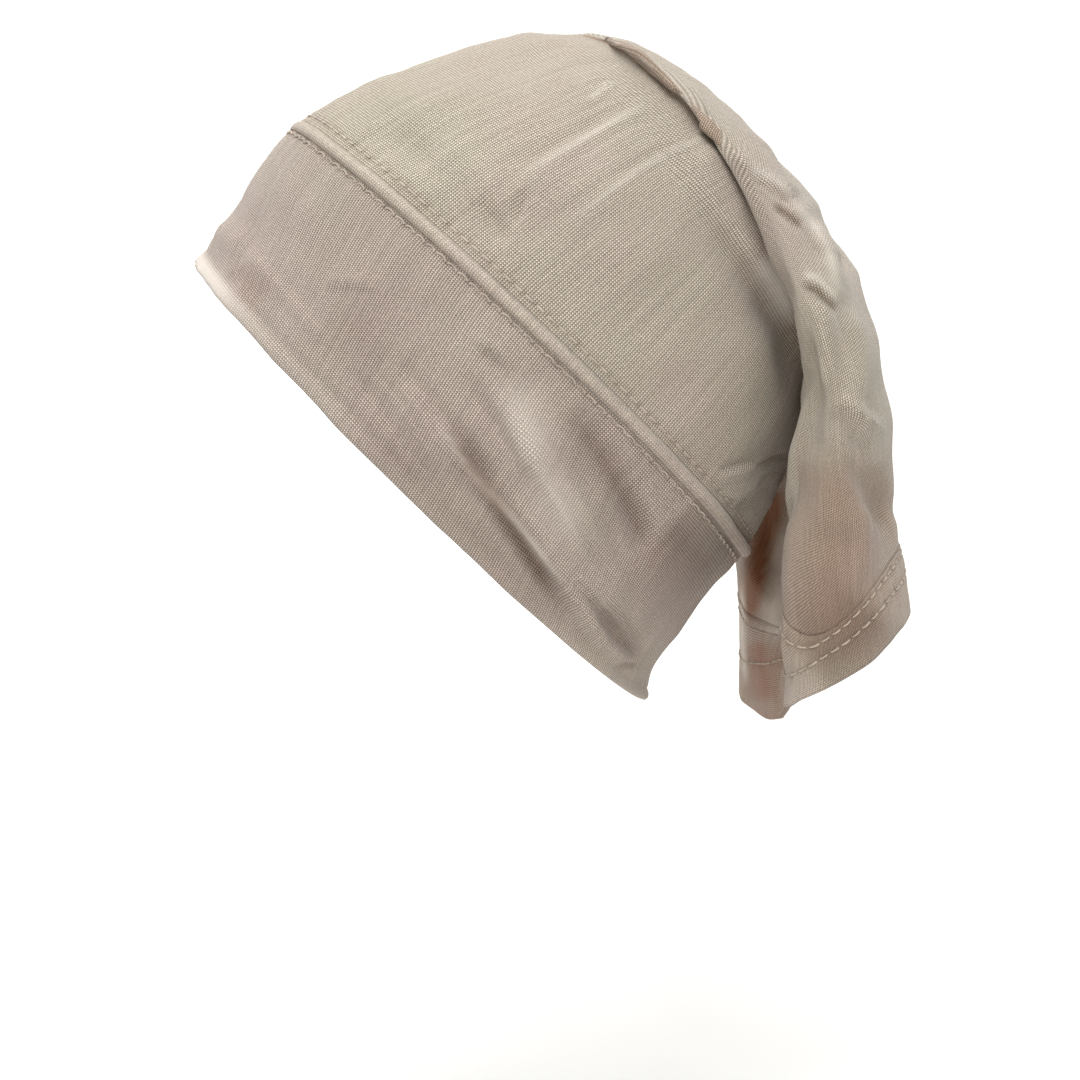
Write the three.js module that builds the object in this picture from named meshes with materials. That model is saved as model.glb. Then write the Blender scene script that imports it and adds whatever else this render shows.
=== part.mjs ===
// Hijab underscarf cap: a tube of fine knit jersey, worn on the head and open at both ends.
// A doubled front band meets the crown at a raised rolled seam. Behind the crown the cloth is drawn in
// under a soft lip and hangs down as a flat open tail, which ends in a stitched hem. Crown and tail
// are modelled as two pieces, which part where the cloth kinks under the lip.
// Millimetres. +X points to the back of the head, -Y to the wearer's left, +Z up.
// The origin is the point inside the crown where the top of the head sits.
import * as THREE from "three";

// Head part
const HEAD_LENGTH = 234; // along X, forehead edge to the back of the skull
const HEAD_DEPTH = 244; // along Z, top of the head down to the nape edge
const HEAD_WIDTH = 155; // along Y, across the head at the seam

// Tail
const TAIL_DEPTH = 116; // along X, how far the tail's back swings out from the kink
const TAIL_HANG = 210; // along Z, how far the tail falls below the kink
const TAIL_WIDTH = 168; // along Y, across the tail

// Widths measured along the cloth at the side of the head
const BAND_WIDTH = 67;
const SEAM_WIDTH = 4.6;
const HEM_WIDTH = 20;

// Cloth
const CLOTH_WALL = 1.0;
const BAND_WALL = 2.0; // doubled cloth
const HEM_WALL = 1.8; // doubled cloth
const SEAM_RISE = 1.5; // how far the rolled seam stands above the cloth
const SEAM_FULLNESS = 0.6; // power of the seam's round section, 1 being a plain sine
const EDGE_ROLL_WIDTH = 5; // soft roll along the front edge
const EDGE_ROLL_RISE = 0.9;
const JOIN_GAP = 0.3; // clear space where two pieces meet end to end
const CREASE_GAP = 0.7; // clear space at the side between crown and tail, less at the top and bottom

// Typical fold, which the fold table takes its shares of
const FOLD_WIDTH = 10;
const FOLD_HEIGHT = 3;

// Mesh fineness
const ANGLE_STEPS = 60; // divisions round the tube
const GUIDE_STEPS = 700; // samples along the side guide, for lengths along the cloth
const NORMAL_REACH = 0.1; // part of a section, each way, over which the cloth's direction is taken
const NORMAL_TURN = THREE.MathUtils.degToRad(2); // angle, each way, for the same
const EDGE_REACH = 0.05; // part of a section over which an open edge's direction is taken
const CELL_MARGIN = 0.4; // share of a cell below which a row beside a piece's end is left out
const SEAM_CELLS = 6; // mesh cells across the rolled seam

// Sections of the tube in order from the front edge to the kink behind the crown.
// top, side and low are the section's points at the top, at the widest place and at the bottom:
// x in shares of HEAD_LENGTH, z of HEAD_DEPTH, half of HEAD_WIDTH / 2.
// fullTop and fullLow say how full the section's upper and lower halves are, 2 being an ellipse.
// cells is the number of mesh cells up to the next section.
const HEAD_COLUMNS = ["name", "topX", "topZ", "sideX", "sideZ", "half", "lowX", "lowZ",
  "fullTop", "fullLow", "cells"];
const HEAD_ROWS = [
  ["front_edge", -0.534, -0.323, -0.158, -0.659, 0.955, 0.174, -0.996, 2.0, 2.05, 2],
  ["band_low", -0.494, -0.267, -0.122, -0.595, 0.974, 0.182, -0.953, 2.0, 2.1, 2],
  ["band_high", -0.431, -0.189, -0.06, -0.48, 0.994, 0.247, -0.857, 2.0, 2.1, 3],
  ["seam", -0.379, -0.136, -0.016, -0.41, 1.0, 0.327, -0.764, 1.95, 2.1, 2],
  ["crown_front", -0.268, -0.074, 0.059, -0.337, 0.981, 0.377, -0.673, 1.85, 2.1, 2],
  ["crown_middle", -0.154, -0.033, 0.132, -0.276, 0.923, 0.415, -0.591, 1.8, 2.1, 2],
  ["crown_back", -0.038, -0.005, 0.21, -0.224, 0.813, 0.438, -0.498, 1.8, 2.1, 3],
  ["kink", 0.045, 0.005, 0.222, -0.234, 0.67, 0.455, -0.43, 1.9, 2.0, 5],
];

// Sections of the tail, each measured from the kink section:
// x, twist and skewX in shares of TAIL_DEPTH, z, slant and skewZ of TAIL_HANG, half of TAIL_WIDTH / 2.
// twist and slant turn the section, so that its far side stands further back and hangs lower.
// skewX and skewZ shift the back corners of the flattened tube that way and its front corners the other
// way, these last by the factor skewLow.
const TAIL_COLUMNS = [...HEAD_COLUMNS, "twist", "slant", "skewX", "skewZ", "skewLow"];
const TAIL_ROWS = [
  ["lip", 0.091, 0.003, 0.063, 0.034, 0.798, 0.069, 0.01, 2.1, 2.05, 5, 0, 0, 0.017, -0.01, 0],
  ["tail_top", 0.297, -0.037, 0.138, -0.061, 0.929, 0.086, -0.067, 2.2, 2.1, 3, 0, 0, 0.198, -0.076, 0.35],
  ["tail_upper", 0.526, -0.134, 0.241, -0.166, 1, 0.06, -0.152, 2.2, 2.2, 3, 0.02, 0.01, 0.155, -0.095, 0.6],
  ["tail_low", 0.803, -0.292, 0.336, -0.285, 1.01, 0.01, -0.286, 2.1, 2.3, 2, 0.03, 0.03, 0.086, -0.09, 1.1],
  ["tail_end", 0.961, -0.531, 0.409, -0.47, 0.976, -0.056, -0.438, 2, 2.4, 3, 0.05, 0.05, 0.052, -0.043, 1.6],
  ["hem_seam", 1.056, -0.867, 0.47, -0.706, 0.905, -0.116, -0.605, 2, 2.5, 3, 0.06, 0.07, 0.017, 0.01, 3],
  ["edge", 1.086, -0.968, 0.504, -0.819, 0.893, -0.129, -0.714, 2, 2.5, 0, 0.06, 0.08, 0.026, -0.005, 2.4],
];

// The cloth steps in at the kink and out again at the lip, which runs out smoothly towards the top:
// there the tube follows an even line from the section before the kink to the one after the lip.
const PLEAT_NAMES = ["kink", "lip"];
const PLEAT_START = 5; // degrees from the top where the step begins
const PLEAT_FULL = 50; // degrees from the top where it is complete

// Between these degrees from the top, skewLow takes over from the full skew
const SKEW_TOP_END = 60;
const SKEW_LOW_START = 120;

// Main folds of the cloth. Each path goes through [section number, degrees from the top towards -Y].
// width is in shares of FOLD_WIDTH and height of FOLD_HEIGHT, below zero for a valley.
// far is the share of the height that the same fold has, mirrored, on the wearer's right side.
const FOLDS = [
  { name: "crown_round_fold", path: [[6.35, 76], [5.98, 92], [5.9, 106], [5.85, 118]],
    width: 0.8, height: 0.9, far: 0.8 },
  { name: "crown_valley", path: [[5.7, 97], [5.62, 112], [5.6, 128], [5.2, 146]],
    width: 1.2, height: -1.0, far: 0.8 },
  { name: "crown_press_upper", path: [[4.1, 71], [4.75, 72], [5.5, 71], [6.3, 68]],
    width: 0.5, height: 0.4, far: 0 },
  { name: "crown_press_lower", path: [[3.6, 83], [4.6, 83], [5.5, 83], [6.2, 80]],
    width: 0.6, height: 0.4, far: 0 },
  { name: "band_long_fold", path: [[1.25, 84], [1.15, 94], [1.15, 108], [0.9, 124], [0.7, 142]],
    width: 0.7, height: 0.45, far: 0.6 },
  { name: "band_upper_fold", path: [[1.95, 82], [1.88, 94], [1.65, 106]],
    width: 0.7, height: 0.4, far: 0 },
  { name: "band_nape_fold", path: [[1.15, 122], [1.05, 134], [1.0, 150]],
    width: 0.6, height: -0.35, far: 0.7 },
  { name: "forehead_fold", path: [[0.95, 8], [0.95, 20], [1.05, 34]],
    width: 0.8, height: 0.5, far: 1 },
  { name: "tail_shoulder_fold", path: [[9.75, 62], [10.3, 48], [10.7, 38]],
    width: 0.7, height: 0.7, far: 0.5 },
  { name: "tail_side_fold", path: [[10.75, 62], [11.1, 64], [11.5, 78], [12.0, 84]],
    width: 1.0, height: 0.9, far: 0.8 },
  { name: "tail_back_valley", path: [[12.1, 78], [12.5, 60], [12.9, 42]],
    width: 1.6, height: -0.9, far: 0.8 },
  { name: "tail_front_recess", path: [[10.7, 180], [11.4, 186], [12.2, 196], [12.8, 204]],
    width: 3.6, height: -2.6, far: 0 },
];
const FOLD_REACH = 1.7; // how many sections away from its path a fold still counts
const FOLD_FADE = 0.25; // share of a fold's path over which it rises and dies away
const FOLD_START = -0.01; // share where that rise begins

const COLOURS = { band: 0xc4aea3, seam: 0xbda698, crown: 0xcfbdb0, hem: 0xd3c1b4 };
const CLOTH_ROUGHNESS = 0.85;

function rowObject(columns, row) {
  return Object.fromEntries(columns.map((column, index) => [column, row[index]]));
}

// Section sizes in millimetres, tail sections placed from the kink
function sections() {
  const head = HEAD_ROWS.map((cells) => rowObject(HEAD_COLUMNS, cells)).map((row) => ({
    ...row,
    twist: 0,
    slant: 0,
    skewX: 0,
    skewZ: 0,
    skewLow: 0,
    top: new THREE.Vector3(row.topX * HEAD_LENGTH, 0, row.topZ * HEAD_DEPTH + CLOTH_WALL),
    side: new THREE.Vector3(row.sideX * HEAD_LENGTH, row.half * HEAD_WIDTH / 2,
      row.sideZ * HEAD_DEPTH + CLOTH_WALL),
    low: new THREE.Vector3(row.lowX * HEAD_LENGTH, 0, row.lowZ * HEAD_DEPTH + CLOTH_WALL),
  }));
  const kink = head[head.length - 1];
  const fromKink = (point, x, z, half) => new THREE.Vector3(
    point.x + x * TAIL_DEPTH, half * TAIL_WIDTH / 2, point.z + z * TAIL_HANG);
  const tail = TAIL_ROWS.map((cells) => rowObject(TAIL_COLUMNS, cells)).map((row) => ({
    ...row,
    top: fromKink(kink.top, row.topX, row.topZ, 0),
    side: fromKink(kink.side, row.sideX, row.sideZ, row.half),
    low: fromKink(kink.low, row.lowX, row.lowZ, 0),
    twist: row.twist * TAIL_DEPTH,
    slant: row.slant * TAIL_HANG,
    skewX: row.skewX * TAIL_DEPTH,
    skewZ: row.skewZ * TAIL_HANG,
  }));
  return [...head, ...tail];
}

const SECTIONS = sections();
const LAST = SECTIONS.length - 1;

// Side points without the step, on an even line past the kink and the lip
function plainSides() {
  const first = SECTIONS.findIndex((section) => section.name === PLEAT_NAMES[0]) - 1;
  const steps = PLEAT_NAMES.length + 1;
  return SECTIONS.map((section, index) => {
    const share = (index - first) / steps;
    return share > 0 && share < 1
      ? SECTIONS[first].side.clone().lerp(SECTIONS[first + steps].side, share)
      : section.side;
  });
}

const GUIDES = {
  top: new THREE.CatmullRomCurve3(SECTIONS.map((section) => section.top)),
  low: new THREE.CatmullRomCurve3(SECTIONS.map((section) => section.low)),
  side: new THREE.CatmullRomCurve3(SECTIONS.map((section) => section.side)),
  plainSide: new THREE.CatmullRomCurve3(plainSides()),
};

// A value between two sections, easing from one to the next
function between(station, column) {
  const index = Math.min(Math.floor(station), LAST - 1);
  const share = THREE.MathUtils.smoothstep(station - index, 0, 1);
  return THREE.MathUtils.lerp(SECTIONS[index][column], SECTIONS[index + 1][column], share);
}

// The smooth tube, without folds. angle 0 is the top, 90 degrees the -Y side.
function tubePoint(station, angle) {
  const top = GUIDES.top.getPoint(station / LAST);
  const low = GUIDES.low.getPoint(station / LAST);
  const cosine = Math.cos(angle);
  const sine = Math.sin(angle);
  const fromTop = THREE.MathUtils.radToDeg(Math.acos(cosine));
  const pleat = THREE.MathUtils.smoothstep(fromTop, PLEAT_START, PLEAT_FULL);
  const side = GUIDES.plainSide.getPoint(station / LAST).lerp(GUIDES.side.getPoint(station / LAST), pleat);
  const fullness = between(station, cosine >= 0 ? "fullTop" : "fullLow");
  const radius = (Math.abs(cosine) ** fullness + Math.abs(sine) ** fullness) ** (-1 / fullness);
  const rise = radius * cosine;
  const across = -radius * sine;
  const outward = Math.abs(across);
  const lowShare = THREE.MathUtils.smoothstep(fromTop, SKEW_TOP_END, SKEW_LOW_START);
  const skew = 2 * rise * outward * THREE.MathUtils.lerp(1, between(station, "skewLow"), lowShare);
  const middleX = (top.x + low.x) / 2;
  const middleZ = (top.z + low.z) / 2;
  const x = middleX + rise * (top.x - low.x) / 2 + outward * (side.x - middleX);
  const z = middleZ + rise * (top.z - low.z) / 2 + outward * (side.z - middleZ);
  return new THREE.Vector3(
    x + across * between(station, "twist") + skew * between(station, "skewX"),
    across * side.y,
    z - across * between(station, "slant") + skew * between(station, "skewZ"));
}

// Direction out of the tube, from two short steps on the given surface
function outwardNormal(surface, station, angle) {
  const before = Math.max(station - NORMAL_REACH, 0);
  const after = Math.min(station + NORMAL_REACH, LAST);
  const along = surface(after, angle).sub(surface(before, angle));
  const round = surface(station, angle + NORMAL_TURN).sub(surface(station, angle - NORMAL_TURN));
  return round.cross(along).normalize();
}

// Fold paths as points on the smooth tube, the mirrored ones included
function foldPaths() {
  const paths = [];
  for (const fold of FOLDS) {
    for (const [sign, share] of [[1, 1], [-1, fold.far]]) {
      if (share > 0) {
        const marks = fold.path.map(([station, degrees]) =>
          ({ station, point: tubePoint(station, THREE.MathUtils.degToRad(sign * degrees)) }));
        paths.push({ marks, width: fold.width * FOLD_WIDTH, height: fold.height * FOLD_HEIGHT * share });
      }
    }
  }
  return paths;
}

const FOLD_PATHS = foldPaths();

// Height that one fold adds at a point: a smooth bump across the path that fades at both ends
function foldHeight(fold, station, point) {
  const last = fold.marks.length - 1;
  let nearest = Infinity;
  let along = 0;
  for (let index = 0; index < last; index += 1) {
    const from = fold.marks[index];
    const to = fold.marks[index + 1];
    const line = new THREE.Line3(from.point, to.point);
    const share = line.closestPointToPointParameter(point, true);
    const away = Math.abs(THREE.MathUtils.lerp(from.station, to.station, share) - station);
    const distance = line.at(share, new THREE.Vector3()).distanceTo(point);
    if (away < FOLD_REACH && distance < nearest) {
      nearest = distance;
      along = (index + share) / last;
    }
  }
  if (nearest >= fold.width) {
    return 0;
  }
  const across = 0.5 + 0.5 * Math.cos(Math.PI * nearest / fold.width);
  const fade = THREE.MathUtils.smoothstep(along, FOLD_START, FOLD_FADE) *
    THREE.MathUtils.smoothstep(1 - along, FOLD_START, FOLD_FADE);
  return fold.height * across * fade;
}

// The outside of the cloth, with its folds
function clothPoint(station, angle) {
  const point = tubePoint(station, angle);
  let height = 0;
  for (const fold of FOLD_PATHS) {
    height += foldHeight(fold, station, point);
  }
  if (height === 0) {
    return point;
  }
  return point.addScaledVector(outwardNormal(tubePoint, station, angle), height);
}

// Length along the cloth at the side, from the front edge to each of many stations
function sideLengths() {
  const lengths = [0];
  let previous = tubePoint(0, Math.PI / 2);
  for (let step = 1; step <= GUIDE_STEPS; step += 1) {
    const point = tubePoint(step * LAST / GUIDE_STEPS, Math.PI / 2);
    lengths.push(lengths[step - 1] + point.distanceTo(previous));
    previous = point;
  }
  return lengths;
}

const SIDE_LENGTHS = sideLengths();
const SIDE_LENGTH = SIDE_LENGTHS[GUIDE_STEPS];

function stationAt(length) {
  const after = Math.min(Math.max(SIDE_LENGTHS.findIndex((value) => value >= length), 1), GUIDE_STEPS);
  const share = (length - SIDE_LENGTHS[after - 1]) / (SIDE_LENGTHS[after] - SIDE_LENGTHS[after - 1]);
  return Math.min(Math.max((after - 1 + share) * LAST / GUIDE_STEPS, 0), LAST);
}

function lengthAt(station) {
  const place = station * GUIDE_STEPS / LAST;
  const index = Math.min(Math.floor(place), GUIDE_STEPS - 1);
  return THREE.MathUtils.lerp(SIDE_LENGTHS[index], SIDE_LENGTHS[index + 1], place - index);
}

// Stations of the mesh rows between two places, following each section's cell count
function rowStations(from, to) {
  const stations = [from];
  for (let index = 0; index < LAST; index += 1) {
    for (let cell = 0; cell < SECTIONS[index].cells; cell += 1) {
      const station = index + cell / SECTIONS[index].cells;
      const margin = CELL_MARGIN / SECTIONS[index].cells;
      if (station > from + margin && station < to - margin) {
        stations.push(station);
      }
    }
  }
  return [...stations, to];
}

// A closed loop of rows, each a ring of points round the tube, joined into one closed body.
// Each row is { station, lift, push, inside }: lift is measured from the cloth's outside, below zero
// inwards, and push goes past the edge. Cells between two inside rows are split like the outside's.
function ringBody(name, rows, colour) {
  const positions = [];
  for (const { station, lift, push = 0 } of rows) {
    for (let step = 0; step < ANGLE_STEPS; step += 1) {
      const angle = step * 2 * Math.PI / ANGLE_STEPS;
      const point = clothPoint(station, angle);
      point.addScaledVector(outwardNormal(clothPoint, station, angle), lift);
      if (push !== 0) {
        const inside = station + Math.sign(LAST / 2 - station) * EDGE_REACH;
        point.addScaledVector(clothPoint(station, angle).sub(clothPoint(inside, angle)).normalize(), push);
      }
      positions.push(point.x, point.y, point.z);
    }
  }
  const indices = [];
  for (let row = 0; row < rows.length; row += 1) {
    const next = (row + 1) % rows.length;
    for (let step = 0; step < ANGLE_STEPS; step += 1) {
      const beside = (step + 1) % ANGLE_STEPS;
      const corner = row * ANGLE_STEPS + step;
      const cornerBeside = row * ANGLE_STEPS + beside;
      const far = next * ANGLE_STEPS + step;
      const farBeside = next * ANGLE_STEPS + beside;
      if (rows[row].inside && rows[next].inside) {
        indices.push(corner, cornerBeside, far, cornerBeside, farBeside, far);
      } else {
        indices.push(corner, cornerBeside, farBeside, corner, farBeside, far);
      }
    }
  }
  const geometry = new THREE.BufferGeometry();
  geometry.setAttribute("position", new THREE.Float32BufferAttribute(positions, 3));
  geometry.setIndex(indices);
  geometry.computeVertexNormals();
  const mesh = new THREE.Mesh(geometry, new THREE.MeshStandardMaterial({
    color: colour,
    roughness: CLOTH_ROUGHNESS,
    metalness: 0,
  }));
  mesh.name = name;
  return mesh;
}

// A length of cloth with a wall: out along the outside, back along the inside.
// frontFold and backFold round off an edge where the cloth is folded over.
function clothPiece(name, from, to, wall, colour, edges = {}) {
  const { liftAt = () => 0, frontFold = false, backFold = false } = edges;
  const stations = rowStations(from, to);
  const fold = wall / 2;
  const outside = stations.map((station) => ({ station, lift: liftAt(station) }));
  const inside = [...stations].reverse().map((station) => ({ station, lift: -wall, inside: true }));
  const middle = (station) => ({ station, lift: (liftAt(station) - wall) / 2, push: fold });
  const rows = [...outside];
  if (backFold) {
    rows.push(middle(to));
  }
  rows.push(...inside);
  if (frontFold) {
    rows.push(middle(from));
  }
  return ringBody(name, rows, colour);
}

// Front band of doubled cloth, with the soft roll along its front edge
function frontBand(to) {
  const roll = (station) => {
    const share = lengthAt(station) / EDGE_ROLL_WIDTH;
    return share < 1 ? EDGE_ROLL_RISE * Math.sin(Math.PI * share) : 0;
  };
  return clothPiece("front_band", 0, to, BAND_WALL, COLOURS.band, { liftAt: roll, frontFold: true });
}

// Rolled seam: a low round ridge that stands above the cloth on both sides
function bandSeam(from, to) {
  const rows = [];
  for (let step = 0; step <= SEAM_CELLS; step += 1) {
    const share = step / SEAM_CELLS;
    const station = THREE.MathUtils.lerp(from, to, share);
    rows.push({ station, lift: SEAM_RISE * Math.sin(Math.PI * share) ** SEAM_FULLNESS });
  }
  rows.push({ station: to, lift: -CLOTH_WALL });
  rows.push({ station: from, lift: -CLOTH_WALL });
  return ringBody("band_seam", rows, COLOURS.seam);
}

const bandEnd = stationAt(BAND_WIDTH);
const seamStart = stationAt(BAND_WIDTH + JOIN_GAP);
const seamEnd = stationAt(BAND_WIDTH + JOIN_GAP + SEAM_WIDTH);
const crownStart = stationAt(BAND_WIDTH + 2 * JOIN_GAP + SEAM_WIDTH);
const crease = lengthAt(HEAD_ROWS.length - 1); // the kink, hidden under the lip
const crownEnd = stationAt(crease);
const tailStart = stationAt(crease + CREASE_GAP);
const tailEnd = stationAt(SIDE_LENGTH - HEM_WIDTH - JOIN_GAP);
const hemStart = stationAt(SIDE_LENGTH - HEM_WIDTH);

const group = new THREE.Group();
group.name = "underscarf_cap";
group.add(frontBand(bandEnd));
group.add(bandSeam(seamStart, seamEnd));
group.add(clothPiece("crown", crownStart, crownEnd, CLOTH_WALL, COLOURS.crown));
group.add(clothPiece("tail", tailStart, tailEnd, CLOTH_WALL, COLOURS.crown));
group.add(clothPiece("tail_hem", hemStart, LAST, HEM_WALL, COLOURS.hem, { backFold: true }));

export default group;
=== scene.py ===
# Hijab underscarf cap: the looks of the knit tube cap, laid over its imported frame.
# Metres. +X points to the back of the head, -Y to the wearer's left, +Z up.
import math

import bpy
import numpy as np
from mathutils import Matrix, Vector


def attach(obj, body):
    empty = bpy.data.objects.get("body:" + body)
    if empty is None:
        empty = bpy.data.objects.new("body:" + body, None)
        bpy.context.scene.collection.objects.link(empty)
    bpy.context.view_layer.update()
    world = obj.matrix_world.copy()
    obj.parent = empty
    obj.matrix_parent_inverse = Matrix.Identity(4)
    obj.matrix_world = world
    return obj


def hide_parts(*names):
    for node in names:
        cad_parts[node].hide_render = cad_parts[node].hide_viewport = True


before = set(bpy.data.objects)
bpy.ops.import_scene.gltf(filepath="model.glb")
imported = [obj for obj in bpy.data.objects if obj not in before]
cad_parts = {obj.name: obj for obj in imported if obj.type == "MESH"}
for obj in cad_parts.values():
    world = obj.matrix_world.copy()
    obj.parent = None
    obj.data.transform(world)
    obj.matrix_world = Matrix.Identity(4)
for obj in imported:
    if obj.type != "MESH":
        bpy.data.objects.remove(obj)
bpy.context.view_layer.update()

MM = 0.001

# Head part, tail and the widths along the cloth at the side
HEAD_LENGTH = 234 * MM
HEAD_DEPTH = 244 * MM
HEAD_WIDTH = 155 * MM
TAIL_DEPTH = 116 * MM
TAIL_HANG = 210 * MM
TAIL_WIDTH = 168 * MM
BAND_WIDTH = 67 * MM
SEAM_WIDTH = 4.6 * MM
HEM_WIDTH = 20 * MM

# Cloth
CROWN_WALL = 1.0 * MM
BAND_WALL = 2.0 * MM
HEM_WALL = 1.8 * MM
SEAM_RISE = 2.6 * MM
JOIN_GAP = 0.3 * MM
TUCK = 0.5 * MM  # how far the cloth runs on under the seam and the hem
HEM_STEP = 0.35 * MM  # how much higher the folded hem lies than the single cloth

# Edge of the band, where the cloth rolls outwards, and its curl at the forehead
ROLL_WIDTH = 5.0 * MM
ROLL_RISE = 0.6 * MM
CURL_WIDTH = 9.0 * MM
CURL_LIFT = 1.0 * MM
CURL_DEGREES = 46

# Stitch rows, as lengths along the cloth at the side: from the seam towards the face and the crown,
# and from the tail's open end
SEAM_ROW_FRONT = 1.3 * MM
SEAM_ROW_BACK = 2.6 * MM
HEM_ROW_UPPER = 18.0 * MM
HEM_ROW_LOWER = 11.8 * MM
SEAM_PITCH = 4.6 * MM
HEM_PITCH = 4.3 * MM
THREAD = 0.42 * MM  # radius
STITCH_DENT = 0.4 * MM
STITCH_REACH = 1.1 * MM
STITCH_WAVE = 0.16 * MM  # how much the cloth ripples beside the stitches

# Mesh fineness
ROW_STEP = 1.15 * MM
NEAR_COLUMNS = 216  # columns of cells on the wearer's left half
FAR_COLUMNS = 96  # and on the right half

# Knit. The real jersey has ribs about 0.5 mm apart. Here they are 0.9 mm apart at the head and 0.6 mm on
# the tail, because the picture's pixels are about 0.4 mm.
WALES = 640  # ribs round the tube
COURSE = 0.8  # mm from one course of stitches to the next

# Sections of the tube. top, side and low are its points at the top, at the widest place and at the
# bottom: x in shares of HEAD_LENGTH, z of HEAD_DEPTH, half of HEAD_WIDTH / 2.
HEAD_COLUMNS = ["name", "top_x", "top_z", "side_x", "side_z", "half", "low_x", "low_z",
                "full_top", "full_low"]
HEAD_ROWS = [
    ["front_edge", -0.534, -0.323, -0.158, -0.659, 0.955, 0.174, -0.996, 2.0, 2.05],
    ["band_low", -0.494, -0.267, -0.122, -0.595, 0.974, 0.182, -0.953, 2.0, 2.1],
    ["band_high", -0.431, -0.189, -0.06, -0.48, 0.994, 0.247, -0.857, 2.0, 2.1],
    ["seam", -0.379, -0.136, -0.016, -0.41, 1.0, 0.327, -0.764, 1.95, 2.1],
    ["crown_front", -0.268, -0.074, 0.059, -0.337, 0.981, 0.377, -0.673, 1.85, 2.1],
    ["crown_middle", -0.154, -0.033, 0.132, -0.276, 0.923, 0.415, -0.591, 1.8, 2.1],
    ["crown_back", -0.038, -0.005, 0.21, -0.224, 0.83, 0.438, -0.498, 1.8, 2.1],
    ["kink", 0.045, 0.005, 0.27, -0.209, 0.818, 0.455, -0.43, 1.9, 2.0],
]
# Sections of the tail, each measured from the kink section, in shares of TAIL_DEPTH, TAIL_HANG and
# TAIL_WIDTH / 2. twist and slant turn a section, skew shifts the corners of the flattened tube.
TAIL_COLUMNS = HEAD_COLUMNS + ["twist", "slant", "skew_x", "skew_z", "skew_low"]
TAIL_ROWS = [
    ["lip", 0.091, 0.003, -0.012, 0.005, 0.8, 0.069, 0.01, 2.1, 2.05, 0, 0, 0.017, -0.01, 0],
    ["tail_top", 0.297, -0.037, 0.052, -0.09, 0.912, 0.086, -0.067, 2.2, 2.1, 0, 0, 0.198, -0.076, 0.35],
    ["tail_upper", 0.526, -0.134, 0.155, -0.195, 1, 0.06, -0.152, 2.2, 2.2, 0.02, 0.01, 0.155, -0.095, 0.6],
    ["tail_low", 0.803, -0.292, 0.25, -0.314, 1.01, 0.01, -0.286, 2.1, 2.3, 0.03, 0.03, 0.086, -0.09, 1.1],
    ["tail_end", 0.961, -0.531, 0.323, -0.499, 0.976, -0.056, -0.438, 2, 2.4, 0.05, 0.05, 0.052, -0.043, 1.6],
    ["hem_seam", 1.056, -0.867, 0.384, -0.735, 0.905, -0.116, -0.605, 2, 2.5, 0.06, 0.07, 0.017, 0.01, 3],
    ["edge", 1.086, -0.968, 0.418, -0.848, 0.893, -0.129, -0.714, 2, 2.5, 0.06, 0.08, 0.026, -0.005, 2.4],
]
# The step at the kink and the lip runs out between these degrees from the top
PLEAT_NAMES = ["kink", "lip"]
PLEAT_START = 5
PLEAT_FULL = 50
SKEW_TOP_END = 60
SKEW_LOW_START = 120

# Main folds, as in the solids: path through [section, degrees], width and height in metres, far as the
# share of the height on the wearer's right side
FOLDS = {
    "crown_round_fold": ([[6.35, 74], [5.98, 90], [5.9, 106], [5.85, 118]], 9, 3.4, 0.8),
    "crown_valley": ([[5.7, 97], [5.62, 112], [5.6, 128], [5.2, 146]], 12, -3, 0.8),
    "band_long_fold": ([[1.25, 84], [1.15, 94], [1.15, 108], [0.9, 124], [0.7, 142]], 7, 1.35, 0.6),
    "band_upper_fold": ([[1.95, 82], [1.88, 94], [1.65, 106]], 7, 1.2, 0),
    "band_nape_fold": ([[1.15, 122], [1.05, 134], [1, 150]], 6, -1.05, 0.7),
    "forehead_fold": ([[0.95, 8], [0.95, 20], [1.05, 34]], 8, 1.5, 1),
    "tail_shoulder_fold": ([[9.75, 62], [10.3, 48], [10.7, 38]], 7, 2.1, 0.5),
    "tail_side_fold": ([[10.75, 62], [11.1, 64], [11.5, 78], [12, 84]], 10, 2.7, 0.8),
    "tail_back_valley": ([[12.1, 78], [12.5, 60], [12.9, 42]], 16, -2.7, 0.8),
    "tail_front_recess": ([[10.4, 176], [11.1, 182], [11.8, 192], [12.4, 200]], 34, -8.5, 0),
}
FOLD_REACH = 1.7  # sections
FOLD_FADE = 0.25  # share of its length over which a fold runs out at each end

# Unevenness of the worn cloth: wavelength and size in millimetres, and waves of each
CRUMPLES = ((42, 0.5), (26, 0.32), (15, 0.16), (9, 0.07))
CRUMPLE_WAVES = 5
CRUMPLE_SEED = 7

# Crease between the crown and the lip, drawn together more than in the solids
CREASE_STATION = 7.2
CREASE_PINCH = 0.78  # share of the distance to the crease that is taken away
CREASE_CORE = 5 * MM
CREASE_REACH = 17 * MM
CREASE_OPEN = (8, 20, 118, 158)  # degrees from the top where it starts, is full, narrows and ends
CREASE_SECTIONS = (5.3, 6.4, 8.6, 9.6)
CREASE_SHADE_SPREAD = 0.22  # sections each way that the crease's painted warm shade spreads
TAIL_TURN = 0.006  # turn of the ribs down the tail, in rounds a section
TAIL_TURN_SECTIONS = (7.6, 13.6)

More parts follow.
